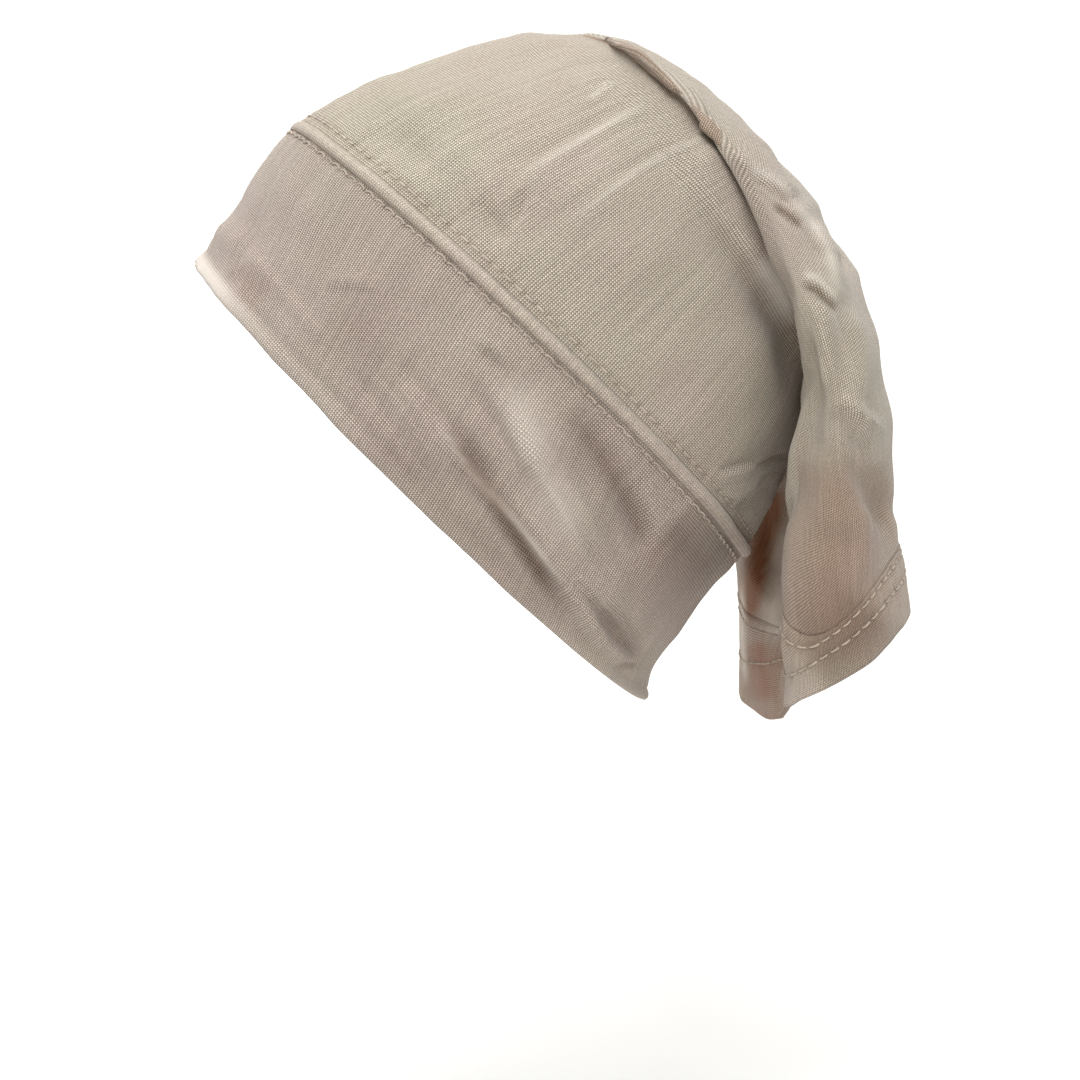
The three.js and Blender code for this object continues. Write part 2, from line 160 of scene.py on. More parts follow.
# The tail's upright corners and the hollow front face between them
CORNER_DEGREES = 122
CORNER_END_DEGREES = 158
CORNER_SECTIONS = (10.4, 13)  # where it moves from the first to the second
CORNER_SPREAD = 7
CORNER_SHIFT = (122, 156, 162, 186)  # degrees where the near corner's shift starts, is full, lessens and ends
FAR_CORNER_SHIFT = (196, 212, 250, 290)
SIDE_SHIFT = (9.9, 11.2, 11.9, 12.9)  # sections where the shift of the edge above the corner is so
SIDE_SPREAD = 18
CORNER_RISE = 2.6 * MM
CORNER_BACK = 6.6 * MM  # how far back the near corner is drawn
CORNER_END_BACK = 2.8 * MM  # and by how much more at the tail's end
CORNER_END_RISE = 7.4 * MM
SIDE_BACK = 6.2 * MM  # how far back the edge above the corner is drawn
FAR_CORNER_FRONT = 2.4 * MM  # how far forwards the far corner is drawn
HOLLOW_BEHIND = 24  # degrees from the corner to the hollow
HOLLOW_SPREAD = 13
HOLLOW_DEPTH = 1.6 * MM
HEM_SLIDE = 0.57  # sections that the hem runs higher on the front face
HEM_SLIDE_SECTIONS = (11.4, 13, 13.45, 14)
TIP_DROP = 1.5 * MM  # how far the middle of the front face hangs lower than its corners
TIP_DEGREES = 184
TIP_SPREAD = 12

# Colours of the knit: base, rosy and green are its own colour; warm is painted reddish-brown shade, pale is
# painted highlight and dull is painted greyish shade, and dull also gives the band's two greyish patches
CROWN_COLOURS = {"base": "#DDD0BE", "rosy": "#DDCCBD", "green": "#D6CCB4", "warm": "#C68A63",
                 "pale": "#F2EADF", "dull": "#9C8878"}
BAND_COLOURS = {"base": "#DACABB", "rosy": "#D8C4B8", "green": "#D3C6B2", "warm": "#BE8A6C",
                "pale": "#EFE5DA", "dull": "#98867B"}
SEAM_COLOURS = {"base": "#D4C5B6", "rosy": "#D2C0B3", "green": "#C9BEAB", "warm": "#C0937A",
                "pale": "#EBE0D5", "dull": "#A08D80"}
INSIDE_SHADE = 0.35  # painted warm shade on the inside, at least this much
CLOUD_SHIFT = (0.31, 0.17, 0.53)  # metres between the rosy and the greenish clouds' patterns

# Floor and backdrop, metres
FLOOR = -0.40
FLOOR_FRONT = -2.2
FLOOR_BACK = 0.9
FLOOR_BEND = 0.8
BEND_STEPS = 16
FLOOR_HALF = 3.5
WALL_TOP = 3.0

# The photograph's camera
CAMERA_PLACE = np.array([0.0, -0.443, -0.1011])
CAMERA_PITCH = math.radians(10.3)  # looks this far down
PHOTO_SIZE = 1080
FOCAL_PIXELS = 1165


def smoothstep(value, low, high):
    share = np.clip((value - low) / (high - low), 0, 1)
    return share * share * (3 - 2 * share)


def up_and_down(value, start, full, lessens, end):
    return smoothstep(value, start, full) * (1 - smoothstep(value, lessens, end))


def bell(value, middle, spread):
    return np.exp(-((value - middle) / spread) ** 2)


def section_table():
    """Each column of the sections as one array, in metres, tail sections placed from the kink."""
    head = [dict(zip(HEAD_COLUMNS, row)) for row in HEAD_ROWS]
    tail = [dict(zip(TAIL_COLUMNS, row)) for row in TAIL_ROWS]
    kink = head[-1]
    table = {"name": [row["name"] for row in head + tail]}
    for point in ("top", "side", "low"):
        x = [row[point + "_x"] * HEAD_LENGTH for row in head]
        z = [row[point + "_z"] * HEAD_DEPTH + CROWN_WALL for row in head]
        x += [kink[point + "_x"] * HEAD_LENGTH + row[point + "_x"] * TAIL_DEPTH for row in tail]
        z += [kink[point + "_z"] * HEAD_DEPTH + CROWN_WALL + row[point + "_z"] * TAIL_HANG for row in tail]
        table[point] = np.array([x, np.zeros(len(x)), z]).T
    half = [row["half"] * HEAD_WIDTH / 2 for row in head] + [row["half"] * TAIL_WIDTH / 2 for row in tail]
    table["side"][:, 1] = half
    for column in ("full_top", "full_low"):
        table[column] = np.array([row[column] for row in head + tail], float)
    units = {"twist": TAIL_DEPTH, "slant": TAIL_HANG, "skew_x": TAIL_DEPTH, "skew_z": TAIL_HANG,
             "skew_low": 1}
    for column, unit in units.items():
        table[column] = np.array([0] * len(head) + [row[column] * unit for row in tail], float)
    return table


SECTIONS = section_table()
LAST = len(SECTIONS["name"]) - 1


def plain_sides():
    """Side points without the step, on an even line past the kink and the lip."""
    sides = SECTIONS["side"].copy()
    first = SECTIONS["name"].index(PLEAT_NAMES[0]) - 1
    steps = len(PLEAT_NAMES) + 1
    for step in range(1, steps):
        share = step / steps
        sides[first + step] = sides[first] * (1 - share) + sides[first + steps] * share
    return sides


PLAIN_SIDES = plain_sides()


def guide(points, station):
    """Centripetal Catmull-Rom curve through points, at places counted in sections."""
    padded = np.vstack([2 * points[0] - points[1], points, 2 * points[-1] - points[-2]])
    index = np.minimum(station.astype(int), len(points) - 2)
    share = (station - index)[..., None]
    before, start, end, after = (padded[index + step] for step in range(4))

    def span(first, second):
        return np.maximum(((second - first) ** 2).sum(-1, keepdims=True) ** 0.25, 1e-6)

    gap_before, gap, gap_after = span(before, start), span(start, end), span(end, after)
    leave = (start - before) / gap_before - (end - before) / (gap_before + gap) + (end - start) / gap
    arrive = (end - start) / gap - (after - start) / (gap + gap_after) + (after - end) / gap_after
    leave, arrive = leave * gap, arrive * gap
    square = -3 * start + 3 * end - 2 * leave - arrive
    cube = 2 * start - 2 * end + leave + arrive
    return start + share * (leave + share * (square + share * cube))


def between(station, column):
    """A value between two sections, easing from one to the next."""
    index = np.minimum(station.astype(int), LAST - 1)
    share = smoothstep(station - index, 0, 1)
    values = SECTIONS[column]
    return values[index] * (1 - share) + values[index + 1] * share


def from_top(angles):
    """Degrees from the top, on either side."""
    return np.degrees(np.arccos(np.clip(np.cos(angles), -1, 1)))


def tube(station, angle):
    """The smooth tube, without folds. angle 0 is the top, 90 degrees the wearer's left."""
    station, angle = np.broadcast_arrays(np.asarray(station, float), np.asarray(angle, float))
    top = guide(SECTIONS["top"], station)
    low = guide(SECTIONS["low"], station)
    cosine, sine = np.cos(angle), np.sin(angle)
    degrees = from_top(angle)
    pleat = smoothstep(degrees, PLEAT_START, PLEAT_FULL)[..., None]
    side = guide(PLAIN_SIDES, station) * (1 - pleat) + guide(SECTIONS["side"], station) * pleat
    full = np.where(cosine >= 0, between(station, "full_top"), between(station, "full_low"))
    radius = (np.abs(cosine) ** full + np.abs(sine) ** full) ** (-1 / full)
    rise, across = radius * cosine, -radius * sine
    outward = np.abs(across)
    low_share = smoothstep(degrees, SKEW_TOP_END, SKEW_LOW_START)
    skew = 2 * rise * outward * (1 + low_share * (between(station, "skew_low") - 1))
    middle = (top + low) / 2
    point = middle + rise[..., None] * (top - low) / 2
    point[..., 0] += outward * (side[..., 0] - middle[..., 0])
    point[..., 2] += outward * (side[..., 2] - middle[..., 2])
    point[..., 0] += across * between(station, "twist") + skew * between(station, "skew_x")
    point[..., 1] = across * side[..., 1]
    point[..., 2] += skew * between(station, "skew_z") - across * between(station, "slant")
    return point


def side_lengths(samples=1400):
    """Stations and the length along the cloth at the side up to each of them."""
    stations = np.linspace(0, LAST, samples)
    points = tube(stations, math.pi / 2)
    steps = np.linalg.norm(np.diff(points, axis=0), axis=1)
    return stations, np.concatenate([[0], np.cumsum(steps)])


SIDE_STATIONS, SIDE_LENGTHS = side_lengths()
SIDE_LENGTH = SIDE_LENGTHS[-1]


def rows_between(start, end):
    """Stations of evenly spaced mesh rows between two lengths along the side."""
    count = 2 * max(2, round((end - start) / ROW_STEP / 2))
    return np.interp(np.linspace(start, end, count + 1), SIDE_LENGTHS, SIDE_STATIONS)


def column_angles():
    near = np.linspace(0, math.pi, NEAR_COLUMNS, endpoint=False)
    far = np.linspace(math.pi, 2 * math.pi, FAR_COLUMNS, endpoint=False)
    return np.concatenate([near, far])


ANGLES = column_angles()


def grid_normals(points):
    """Directions out of the tube for a grid of rows and closed rings."""
    along = np.gradient(points, axis=0)
    around = np.roll(points, -1, axis=1) - np.roll(points, 1, axis=1)
    normals = np.cross(around, along)
    return normals / np.maximum(np.linalg.norm(normals, axis=-1, keepdims=True), 1e-12)


def nearest_on_path(points, marks):
    """Distance from each point to a path, and how far along the path its nearest place is."""
    best = np.full(points.shape[:-1], np.inf)
    along = np.zeros(points.shape[:-1])
    for index in range(len(marks) - 1):
        start, step = marks[index], marks[index + 1] - marks[index]
        share = np.clip(((points - start) @ step) / (step @ step), 0, 1)
        distance = np.linalg.norm(points - start - share[..., None] * step, axis=-1)
        closer = distance < best
        best = np.where(closer, distance, best)
        along = np.where(closer, (index + share) / (len(marks) - 1), along)
    return best, along


def fade_ends(along):
    return smoothstep(along, -0.01, FOLD_FADE) * smoothstep(1 - along, -0.01, FOLD_FADE)


def main_folds(points, stations):
    """Height that the main folds add over the smooth tube."""
    height = np.zeros(points.shape[:-1])
    for path, width, rise, far in FOLDS.values():
        places = np.array([station for station, degrees in path])
        for sign, share in ((1, 1), (-1, far)):
            if share > 0:
                marks = tube(places, np.radians([sign * degrees for station, degrees in path]))
                distance, along = nearest_on_path(points, marks)
                place = np.interp(along, np.linspace(0, 1, len(places)), places)
                near = np.abs(place - stations) < FOLD_REACH
                across = 0.5 + 0.5 * np.cos(np.pi * np.minimum(distance / (width * MM), 1))
                height += np.where(near, rise * MM * share * across * fade_ends(along), 0)
    return height


def photo_place(points):
    """Where points show in the photograph, in its pixels."""
    offset = points - CAMERA_PLACE
    forward = np.array([0, math.cos(CAMERA_PITCH), -math.sin(CAMERA_PITCH)])
    upward = np.array([0, math.sin(CAMERA_PITCH), math.cos(CAMERA_PITCH)])
    depth = offset @ forward
    x = PHOTO_SIZE / 2 + FOCAL_PIXELS * offset[..., 0] / depth
    y = PHOTO_SIZE / 2 - FOCAL_PIXELS * (offset @ upward) / depth
    return np.stack([x, y], -1), depth


# Small folds and press marks, by the part of the cloth that they lie on. Each has its path in pixels of the
# photograph, its width (each way) and height in millimetres, how sharp it is, from 0, a round bump, to 1, a
# crease, and the share of its height on the wearer's right side, where it lies mirrored.
WRINKLES = {}
WRINKLES["crown"] = {
    "press_upper": ([(513, 180), (555, 155), (603, 128), (656, 99)], 2.4, 0.8, 1, 0),
    "press_upper_groove": ([(508, 171), (552, 146), (600, 119), (650, 92)], 3.2, -0.62, 0, 0),
    "press_lower": ([(505, 275), (516, 266), (593, 202), (641, 168), (679, 147), (715, 131)],
        2.2, 0.65, 1, 0),
    "press_lower_groove": ([(600, 190), (643, 160), (680, 139), (712, 124)], 3, -0.5, 0, 0),
    "press_short": ([(588, 102), (602, 90), (614, 80)], 2.2, 0.88, 1, 0.6),
    "press_short_groove": ([(583, 97), (597, 85), (608, 76)], 2.6, -0.5, 0.2, 0.6),
    "front_hollow_left": ([(478, 199), (495, 222), (511, 246)], 4.5, -2, 0.5, 0.5),
    "front_hollow_right": ([(526, 190), (521, 205), (514, 228)], 3, -1.6, 0.5, 0.5),
    "front_hollow_rise": ([(533, 196), (527, 212), (520, 232)], 3, 1.1, 0.2, 0.5),
    "soft_rise": ([(430, 130), (480, 170), (520, 220)], 12, 0.88, 0, 0.6),
    "front_dip": ([(372, 120), (430, 165), (470, 190)], 8, -0.62, 0, 0.6),
    "round_fold_valley": ([(715, 235), (760, 290), (785, 330), (795, 400)], 7, -1.62, 0, 0.6),
    "round_fold_ridge": ([(690, 185), (735, 235), (775, 285), (790, 320)], 6, 1.25, 0, 0.6),
    "nape_crease_upper": ([(716, 472), (738, 464), (762, 459)], 2.6, -1.25, 0.8, 0.7),
    "nape_crease_lower": ([(750, 471), (770, 463), (794, 452)], 2.6, -1.25, 0.8, 0.7),
    "nape_crease_rise": ([(718, 479), (742, 471), (764, 466)], 2.8, 0.88, 0.4, 0.7),
    "nape_fold_low": ([(722, 500), (745, 492), (765, 478)], 3.5, 1, 0.2, 0.7),
    "nape_fold_dip": ([(735, 512), (755, 500), (775, 482)], 4, -1.12, 0.2, 0.7),
}
WRINKLES["tail"] = {
    "lip_crease_top": ([(545, 52), (570, 53), (597, 52), (613, 36)], 3, -1.3, 0.6, 0.8),
    "lip_point": ([(735, 148), (744, 160), (752, 172)], 5, 1.4, 0.3, 0.5),
    "thin_ridge": ([(745, 166), (762, 173), (779, 182), (799, 198)], 2.8, 1.5, 0.5, 0.5),
    "thin_groove": ([(748, 175), (765, 183), (782, 194), (796, 206)], 3.2, -1.2, 0.3, 0.5),
    "dark_crease": ([(773, 203), (788, 215), (804, 229)], 2.8, -1.4, 0.4, 0.5),
    "long_ridge": ([(790, 198), (810, 220), (828, 246), (842, 300)], 5, 2.3, 0.4, 0.6),
    "long_dip": ([(812, 205), (836, 240), (850, 280)], 5, -2.3, 0.3, 0.6),
    "small_fold": ([(800, 273), (820, 281), (830, 290), (842, 304)], 3.2, 1.5, 0.4, 0.6),
    "small_dip": ([(800, 283), (817, 291), (828, 303), (838, 312)], 3.2, -1.3, 0.3, 0.6),
    "side_ridge": ([(820, 290), (824, 340), (829, 402)], 6, 2.1, 0.2, 0.7),
    "side_dip": ([(808, 300), (811, 350), (815, 400)], 4.5, -1.7, 0.2, 0.7),
    "slant_ridge": ([(836, 396), (858, 412), (884, 436)], 4.5, 2.3, 0.4, 0.7),
    "slant_dip": ([(826, 410), (850, 432), (878, 462)], 5.5, -2, 0.2, 0.7),
    "broad_valley": ([(850, 455), (872, 490), (893, 528)], 7, -2.6, 0.1, 0.7),
    "low_ridge": ([(815, 440), (822, 490), (835, 540)], 8, 1.35, 0, 0.7),
    "low_dip": ([(845, 520), (838, 560), (826, 600)], 8, -1.2, 0, 0.7),
    "end_ridge": ([(862, 500), (868, 540), (862, 580)], 6, 1.2, 0, 0.7),
}
WRINKLES["front"] = {
    "tail_front_dip": ([(779, 545), (773, 585), (771, 630)], 6, -1.8, 0, 0),
}
WRINKLES["band"] = {
    "big_ridge": ([(500, 380), (530, 435), (558, 500), (592, 575), (628, 645)], 13, 4.2, 0.1, 0.6),
    "big_valley": ([(440, 408), (478, 470), (522, 540), (572, 622)], 8, -3.4, 0.1, 0.6),
    "right_valley": ([(560, 388), (600, 450), (630, 505), (652, 560)], 8, -2.6, 0.1, 0.6),
    "left_ridge": ([(400, 385), (440, 445), (490, 515), (545, 590)], 6, 2.3, 0.2, 0.6),
    "thin_ridge": ([(446, 436), (482, 484), (524, 534), (566, 590)], 2.6, 2.3, 0.6, 0.6),
    "fine_ridge_one": ([(466, 396), (503, 450), (544, 520), (592, 596)], 2.2, 1.3, 0.5, 0.5),
    "fine_ridge_two": ([(524, 402), (560, 462), (600, 535), (628, 592)], 2.4, 1.2, 0.5, 0.5),
    "fine_groove": ([(512, 402), (548, 466), (588, 540), (618, 600)], 2.6, -1.2, 0.3, 0.5),
    "fine_ridge_three": ([(352, 352), (392, 398), (430, 452), (470, 512)], 2.4, 1.1, 0.5, 0.5),
    "fine_groove_two": ([(340, 360), (380, 408), (418, 462), (458, 520)], 2.8, -1.1, 0.3, 0.5),
    "long_ridge": ([(444, 427), (474, 473), (533, 531), (584, 610), (622, 659)], 4.5, 2.04, 0.4, 0.6),
    "long_groove": ([(430, 436), (462, 486), (520, 545), (570, 620), (608, 668)], 4, -1.36, 0.2, 0.6),
    "second_ridge": ([(469, 355), (508, 406), (543, 473), (590, 545)], 5, 1.7, 0.2, 0.6),
    "second_groove": ([(455, 372), (495, 425), (530, 490), (575, 560)], 4.5, -1.36, 0.2, 0.6),
    "third_ridge": ([(378, 362), (410, 395), (446, 440), (480, 500), (520, 560)], 4, 1.36, 0.3, 0.5),
    "third_groove": ([(390, 355), (425, 392), (462, 440), (495, 490)], 4, -1.02, 0.2, 0.5),
    "scallop": ([(470, 345), (486, 342), (500, 352), (512, 372)], 3, 1.53, 0.5, 0.4),
    "scallop_dip": ([(478, 356), (490, 358), (500, 372)], 4, -1.53, 0.1, 0.4),
    "light_line": ([(395, 368), (430, 335), (478, 291)], 2.2, 0.77, 0.8, 0),
    "level_dip": ([(318, 292), (350, 291), (378, 293)], 4, -0.7, 0.3, 0.5),
    "level_rise": ([(322, 284), (350, 282), (384, 286)], 4, 0.85, 0, 0.5),
    "forehead_dip": ([(232, 268), (248, 285), (266, 302)], 5, -1, 0.1, 0.8),
    "forehead_line": ([(240, 245), (262, 268), (300, 315), (338, 352)], 3.6, 1.02, 0.3, 0.6),
    "edge_groove": ([(238, 300), (262, 327), (310, 372), (345, 408), (391, 454), (450, 520)],
        3.2, -0.6, 0.4, 1),
    "nape_one": ([(560, 570), (590, 603), (625, 640)], 3, -1.87, 0.6, 0.8),
    "nape_one_rise": ([(568, 564), (598, 596), (632, 632)], 3, 1.53, 0.3, 0.8),
    "nape_two": ([(620, 605), (632, 628), (645, 650)], 2.8, -1.7, 0.6, 0.8),
    "nape_three": ([(590, 612), (612, 634), (634, 656)], 2.6, -1.53, 0.7, 0.8),
    "nape_four": ([(598, 640), (616, 650), (640, 662)], 2.6, 1.53, 0.5, 0.8),
    "nape_five": ([(612, 668), (628, 664), (644, 668)], 2.4, -1.36, 0.6, 0.8),
    "back_rise": ([(640, 480), (660, 520), (672, 560)], 7, 1.19, 0, 0.7),
    "back_dip": ([(612, 470), (636, 520), (652, 566)], 6, -1.02, 0, 0.7),
}

# Sections that each part spans. front is the tail's front face, whose marks lie as they show and aren't
# mirrored: it starts so many degrees behind the near corner, and its marks fade out past the far one.
PARTS = {"band": (0, 3), "crown": (3, 7.3), "tail": (7.3, 15), "front": (9, 15)}
TAIL_MARKS_END = 132
FRONT_BEHIND = 3
FRONT_FADE = (214, 238)

# Places where the cloth's colour differs, as painted shade and painted highlight, by part: path, or the
# wrinkle whose path it is, width each way in millimetres, kind, strength and the share on the wearer's right
# side. warm is painted reddish-brown shade, where light only comes from other cloth, pale is painted
# highlight on ridges, rolls and edges, dull is painted greyish shade; the band's patch_one and patch_two are
# greyish patches.
TINTS = {}
TINTS["crown"] = {
    # painted warm shade under the lip, painted highlights on the roll and the press ridges
    "under_lip_shade": ([(612, 50), (660, 84), (715, 135), (752, 195), (775, 250), (793, 300), (797, 380),
        (796, 455)], 6, "warm", 0.2, 0.8),
    "roll_shine": ([(764, 250), (782, 282), (795, 330)], 9, "pale", 0.6, 0.6),
    "press_upper_shine": ("press_upper", 1.6, "pale", 0.3, 0),
    "press_lower_shine": ([(560, 228), (641, 168), (715, 131)], 1.4, "pale", 0.25, 0),
    "press_short_shine": ("press_short", 1.5, "pale", 0.3, 0),
}
TINTS["front"] = {
    # painted warm shade in the front face's recess and on its lower panel, painted highlight on the far rim
    # and the near flap
    "recess": ([(784, 470), (772, 510), (762, 550), (752, 590), (748, 640)], 10, "warm", 1.5, 1),
    "panel_shade": ([(758, 630), (762, 670), (768, 715)], 18, "warm", 0.9, 1),
    "far_rim_highlight": ([(742, 570), (742, 640), (746, 690)], 2.5, "pale", 0.6, 1),
    "near_flap_highlight": ([(787, 520), (780, 570), (772, 620), (782, 648)], 7, "pale", 0.5, 1),
}
TINTS["tail"] = {
    # painted warm shade on the lower tail and in the broad valley, painted dull shade on the hem, in the dark
    # crease and the small dip, painted highlights on the ridges and the small fold
    "lower_part_shade": ([(850, 430), (835, 520), (830, 600), (850, 680)], 70, "warm", 0.42, 0.5),
    "hem_shade": ([(800, 670), (850, 645), (885, 600)], 30, "dull", 0.6, 1),
    "ridge_shine": ("thin_ridge", 1.8, "pale", 0.5, 0.5),
    "long_shine": ("long_ridge", 3, "pale", 0.4, 0.5),
    "crease_shade": ("dark_crease", 1.9, "dull", 0.9, 0.5),
    "fold_shine": ("small_fold", 2, "pale", 0.5, 0.5),
    "fold_shade": ("small_dip", 2, "dull", 0.7, 0.5),
    "valley_shade": ("broad_valley", 7, "warm", 0.3, 0.7),
}
TINTS["band"] = {
    # painted highlight on the forehead edge and the ridges, painted warm shade inside the forehead edge,
    # painted dull shade in the valleys, the low part, the back and the nape; patch_one and patch_two are
    # greyish patches
    "forehead_edge": ([(202, 264), (212, 290), (228, 308)], 8, "pale", 0.45, 1),
    "inside_forehead_shade": ([(238, 262), (250, 285), (266, 306)], 8, "warm", 0.2, 1),
    "ridge_shine": ([(500, 370), (530, 430), (556, 495), (585, 560)], 12, "pale", 0.3, 0.6),
    "low_shade": ([(330, 400), (420, 490), (500, 570), (580, 645)], 16, "dull", 0.3, 0.6),
    "back_shade": ([(660, 520), (690, 550), (720, 580)], 32, "dull", 0.6, 0.6),
    "thin_shine": ([(430, 412), (482, 484), (524, 534), (566, 590)], 2.4, "pale", 0.8, 0.6),
    "valley_shade": ([(440, 420), (478, 475), (522, 545), (572, 625)], 7, "dull", 0.85, 0.6),
    "right_shade": ([(560, 400), (600, 455), (630, 510), (652, 560)], 8, "dull", 0.6, 0.6),
    "nape_shade": ([(600, 600), (622, 635), (640, 668)], 6, "dull", 0.4, 0.6),
    "patch_one": ([(330, 300), (370, 340), (400, 400)], 20, "dull", 0.2, 0.5),
    "patch_two": ([(560, 420), (600, 470), (650, 540)], 22, "dull", 0.2, 0.5),
}


def corner_degrees(stations):
    """Degrees from the top of the tail's upright corners."""
    return CORNER_DEGREES + (CORNER_END_DEGREES - CORNER_DEGREES) * smoothstep(stations, *CORNER_SECTIONS)


def marks(table):
    """Each mark's part, path and other cells."""
    for part, rows in table.items():
        for path, *cells in rows.values():
            if isinstance(path, str):
                path = WRINKLES[part][path][0]
            yield part, path, *cells


def mark_shares(points, stations, angles, part, path, width, far):
    """0 on a mark's middle line to 1 at its edge, its fade at the ends, and its share on this side."""
    low, high = PARTS[part]
    inside = (stations >= low) & (stations <= high)
    seen = points.copy()
    if part == "front":
        side = 1 - smoothstep(np.degrees(angles), *FRONT_FADE)
        inside &= np.degrees(angles) >= corner_degrees(stations) + FRONT_BEHIND
    else:
        side = np.where(points[..., 1] < 0, 1, far)
        seen[..., 1] = -np.abs(points[..., 1])
    if part == "tail":
        inside &= from_top(angles) <= TAIL_MARKS_END
    place, depth = photo_place(seen)
    distance, along = nearest_on_path(place, np.array(path, float))
    share = np.minimum(distance * depth / FOCAL_PIXELS / MM / width, 1)
    return share, fade_ends(along), np.where(inside, side, 0)


def small_wrinkles(points, stations, angles):
    """Height that the small folds and press marks add."""
    height = np.zeros(points.shape[:-1])
    for part, path, width, rise, sharp, far in marks(WRINKLES):
        share, fade, level = mark_shares(points, stations, angles, part, path, width, far)
        bump = (0.5 + 0.5 * np.cos(np.pi * share)) * (1 - sharp) + (1 - share) ** 2 * sharp
        height += rise * MM * bump * level * fade
    return height


def crumple(points):
    """Soft unevenness of worn jersey, from waves in fixed directions."""
    generator = np.random.default_rng(CRUMPLE_SEED)
    height = np.zeros(points.shape[:-1])
    for wavelength, size in CRUMPLES:
        for wave in range(CRUMPLE_WAVES):
            direction = generator.normal(size=3)
            direction *= 2 * np.pi / (wavelength * MM) / np.linalg.norm(direction)
            height += np.sin(points @ direction + generator.uniform(0, 2 * np.pi)) * size * MM / 2
    return height


def front_corner(stations, angles):
    """The tail's upright corners, and the hollow of its front face between them."""
    degrees = from_top(angles)
    corner = corner_degrees(stations)
    share = smoothstep(stations, 9.3, 11.5) * np.where(angles < math.pi, 1, 0.5)
    ridge = bell(degrees, corner, CORNER_SPREAD) * CORNER_RISE * (1 - 0.5 * smoothstep(stations, 12, 13.5))
    hollow = bell(degrees, corner + HOLLOW_BEHIND, HOLLOW_SPREAD) * HOLLOW_DEPTH
    return share * (ridge - hollow)


def shape_tail_front(stations, angles):
    """Moves the tail's near corner back and up, and the tip between the corners down."""
    degrees = np.degrees(angles)
    near = up_and_down(degrees, *CORNER_SHIFT)
    back = near * smoothstep(stations, 11.4, 12.2) * CORNER_BACK
    back += near * smoothstep(stations, 12.2, 13.8) * CORNER_END_BACK
    back += bell(degrees, CORNER_DEGREES, SIDE_SPREAD) * up_and_down(stations, *SIDE_SHIFT) * SIDE_BACK
    back -= up_and_down(degrees, *FAR_CORNER_SHIFT) * smoothstep(stations, 11, 12.5) * FAR_CORNER_FRONT
    tip = bell(degrees, TIP_DEGREES, TIP_SPREAD) * TIP_DROP
    rise = smoothstep(stations, 13, 14) * (near * CORNER_END_RISE - tip)
    return np.stack([back, np.zeros(back.shape), rise], -1)


def slide_hem(stations, angles):
    """Stations moved up the cloth on the tail's front face, where the hem runs higher."""
    degrees = np.degrees(angles)
    front = smoothstep(degrees, 90, 150) * (1 - 0.2 * smoothstep(degrees, 160, 190))
    front *= 1 - smoothstep(degrees, 225, 260)
    return stations - HEM_SLIDE * front * up_and_down(stations, *HEM_SLIDE_SECTIONS)


def tighten_crease(points, stations, angles):
    """Draws both sides of the crease between crown and lip together."""
    crease = tube(CREASE_STATION, ANGLES)
    along = tube(CREASE_STATION + 1.2, ANGLES) - tube(CREASE_STATION - 0.9, ANGLES)
    along /= np.linalg.norm(along, axis=-1, keepdims=True)
    offset = ((points - crease) * along).sum(-1)
    reach = 1 - smoothstep(np.abs(offset), CREASE_CORE, CREASE_REACH)
    reach *= up_and_down(from_top(angles), *CREASE_OPEN) * up_and_down(stations, *CREASE_SECTIONS)
    return points - along * (offset * CREASE_PINCH * reach)[..., None]


def stitch_dents(points, lengths, length, pitch):
    """Dents along a stitch row: a groove, and a pit where the thread goes in."""
    line = points[np.argmin(np.abs(lengths - length))]
    steps = np.linalg.norm(np.roll(line, -1, axis=0) - line, axis=1)
    along = np.concatenate([[0], np.cumsum(steps)[:-1]])
    count = round(steps.sum() / pitch)
    phase = along * count / steps.sum()
    pit = bell(phase % 1, 0.5, STITCH_REACH / pitch)
    groove = bell(lengths, length, STITCH_REACH)[:, None]
    pucker = bell(lengths, length, 5 * STITCH_REACH)[:, None]
    dents = groove * (0.45 + 0.55 * pit) * -STITCH_DENT
    return dents + pucker * np.sin(np.pi * phase) * STITCH_WAVE, groove * pit


def surface(rows, lift=None):
    """Outer surface of the cloth at some stations, with all its folds."""
    stations, angles = np.meshgrid(rows, ANGLES, indexing="ij")
    points = tube(slide_hem(stations, angles), angles) + shape_tail_front(stations, angles)
    points += grid_normals(points) * main_folds(points, stations)[..., None]
    points = tighten_crease(points, stations, angles)
    normals = grid_normals(points)
    height = small_wrinkles(points, stations, angles) + crumple(points) + front_corner(stations, angles)
    if lift is not None:
        height += lift(stations, angles)
    points = points + normals * height[..., None]
    return {"points": points, "normals": grid_normals(points), "stations": stations, "angles": angles}


def ring_shares(points):
    """How far round each ring its points lie, from 0 to 1, and the closing 1 that follows the last."""
    steps = np.linalg.norm(np.roll(points, -1, axis=1) - points, axis=-1)
    shares = np.cumsum(steps, axis=1) / steps.sum(axis=1, keepdims=True)
    return np.hstack([np.zeros((len(points), 1)), shares])


def cloth_grid(start, end, stitch_rows=(), lift=None):
    """A stretch of the tube between two lengths along the side, with its stitch rows' dents."""
    rows = rows_between(start, end)
    grid = surface(rows, lift)
    lengths = np.interp(rows, SIDE_STATIONS, SIDE_LENGTHS)
    grid["lengths"] = lengths
    pits = np.zeros(grid["points"].shape[:-1])
    for length, pitch in stitch_rows:
        dents, row_pits = stitch_dents(grid["points"], lengths, length, pitch)
        grid["points"] = grid["points"] + grid["normals"] * dents[..., None]
        pits = np.maximum(pits, row_pits)
    grid["normals"] = grid_normals(grid["points"])
    grid["shares"] = ring_shares(tube(grid["stations"], grid["angles"]))
    slid = np.interp(slide_hem(grid["stations"], grid["angles"]), SIDE_STATIONS, SIDE_LENGTHS)
    grid["runs"] = np.hstack([slid, slid[:, :1]])
    grid["tints"] = tints(grid, pits)
    return grid


